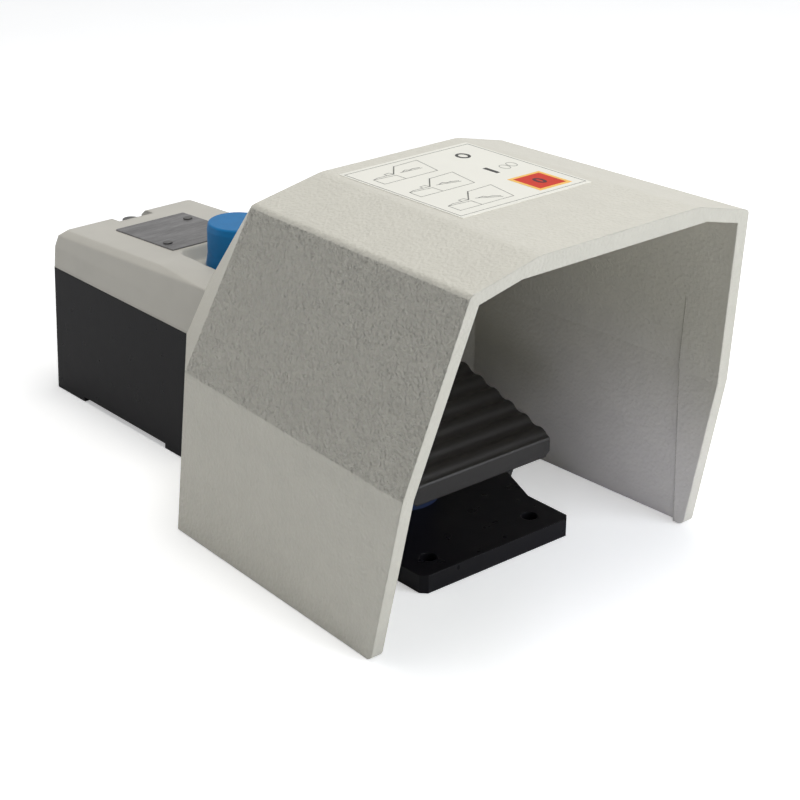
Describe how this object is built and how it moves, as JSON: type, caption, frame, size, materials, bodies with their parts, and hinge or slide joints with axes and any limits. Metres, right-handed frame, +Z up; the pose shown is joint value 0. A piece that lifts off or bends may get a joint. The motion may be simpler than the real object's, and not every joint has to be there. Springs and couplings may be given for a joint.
{
  "type": "two-step foot switch",
  "caption": "Foot switch with a cast protective hood, ribbed pedal, closed switch box behind it and a latch reset button on top.",
  "frame": {"origin": "centre of the bounding box, on the floor", "axes": "+Z up, +Y from the foot side to the cable side, +X to the right as the foot goes in"},
  "size_m": [0.16, 0.3106, 0.1438],
  "materials": {
    "base_casting": "black lacquered die-cast metal, slightly glossy",
    "hood": "warm light grey textured powder coat on cast metal",
    "hood_label": null,
    "hood_screws": "zinc-plated steel",
    "housing_cover": "smooth grey lacquer on cast metal",
    "cover_gasket": "black rubber",
    "cover_screw": "steel",
    "nameplate": "brushed aluminium sheet, left blank",
    "nameplate_rivets": "small dark rivets",
    "pedal": "black semi-gloss lacquer, cross ribs",
    "pedal_bushes": "bearing plastic",
    "pedal_axle": "ground steel",
    "axle_clips": "spring steel",
    "pedal_crank": "steel plate",
    "crank_screws": "zinc-plated steel",
    "return_springs": "spring steel wire",
    "pressure_pad": "dark blue elastomer",
    "reset_button": "blue semi-gloss plastic",
    "button_stem": "steel",
    "stem_clip": "spring steel",
    "stem_seal": "black rubber",
    "button_spring": "spring steel wire",
    "latch_pawl": "hardened steel",
    "latch_pin": "steel",
    "latch_bracket": "zinc-plated sheet steel",
    "latch_spring": "spring steel wire",
    "bracket_screws": "zinc-plated steel",
    "plunger_1": "white plastic",
    "plunger_2": "white plastic",
    "contact_block_1": "black thermoset plastic",
    "contact_block_2": "black thermoset plastic",
    "contact_terminals": "brass",
    "terminal_screws": "zinc-plated steel",
    "contact_rail": "zinc-plated sheet steel",
    "rail_screws": "zinc-plated steel",
    "earth_terminal": "brass washer and screw",
    "gland_body": "black polyamide",
    "gland_locknut": "black polyamide",
    "gland_seal": "black rubber",
    "gland_nut": "black polyamide"
  },
  "bodies": {
    "housing": {"base_casting": "base_casting", "hood": "hood", "hood_label": "hood_label", "hood_screws": "hood_screws", "housing_cover": "housing_cover", "cover_gasket": "cover_gasket", "cover_screw": "cover_screw", "nameplate": "nameplate", "nameplate_rivets": "nameplate_rivets", "pedal_axle": "pedal_axle", "axle_clips": "axle_clips", "return_springs": "return_springs", "pressure_pad": "pressure_pad", "stem_seal": "stem_seal", "button_spring": "button_spring", "latch_pin": "latch_pin", "latch_bracket": "latch_bracket", "latch_spring": "latch_spring", "bracket_screws": "bracket_screws", "contact_block_1": "contact_block_1", "contact_block_2": "contact_block_2", "contact_terminals": "contact_terminals", "terminal_screws": "terminal_screws", "contact_rail": "contact_rail", "rail_screws": "rail_screws", "earth_terminal": "earth_terminal", "gland_body": "gland_body", "gland_locknut": "gland_locknut", "gland_seal": "gland_seal", "gland_nut": "gland_nut"},
    "pedal_lever": {"pedal": "pedal", "pedal_bushes": "pedal_bushes", "pedal_crank": "pedal_crank", "crank_screws": "crank_screws"},
    "reset_knob": {"reset_button": "reset_button", "button_stem": "button_stem", "stem_clip": "stem_clip"},
    "latch": {"latch_pawl": "latch_pawl"},
    "plunger_left": {"plunger_1": "plunger_1"},
    "plunger_right": {"plunger_2": "plunger_2"}
  },
  "joints": [
    {"name": "pedal_pivot", "type": "hinge", "parent": "housing", "child": "pedal_lever", "pos_m": [0, -0.00535, 0.05], "axis": [1, 0, 0], "range_deg": [0, 11], "stiffness_Nm_per_rad": 12, "springref_deg": -5.73, "deforming": ["return_springs"]},
    {"name": "reset_push", "type": "slide", "parent": "housing", "child": "reset_knob", "axis": [0, 0, -1], "range_m": [0, 0.004], "stiffness_N_per_m": 1500, "springref_m": -0.002, "deforming": ["button_spring"]},
    {"name": "latch_pivot", "type": "hinge", "parent": "housing", "child": "latch", "pos_m": [0, 0.07665, 0.048], "axis": [1, 0, 0], "range_deg": [0, 10.7], "deforming": ["latch_spring"]},
    {"name": "plunger_left_push", "type": "slide", "parent": "housing", "child": "plunger_left", "axis": [0, 1, 0], "range_m": [0, 0.0051]},
    {"name": "plunger_right_push", "type": "slide", "parent": "housing", "child": "plunger_right", "axis": [0, 1, 0], "range_m": [0, 0.0051]}
  ],
  "couplings": [
    {"joint": "latch_pivot", "follows": "reset_push", "rad_per_m": 46.5},
    {"joint": "plunger_left_push", "follows": "pedal_pivot", "m_per_rad": 0.0262},
    {"joint": "plunger_right_push", "follows": "pedal_pivot", "m_per_rad": 0.0262}
  ]
}
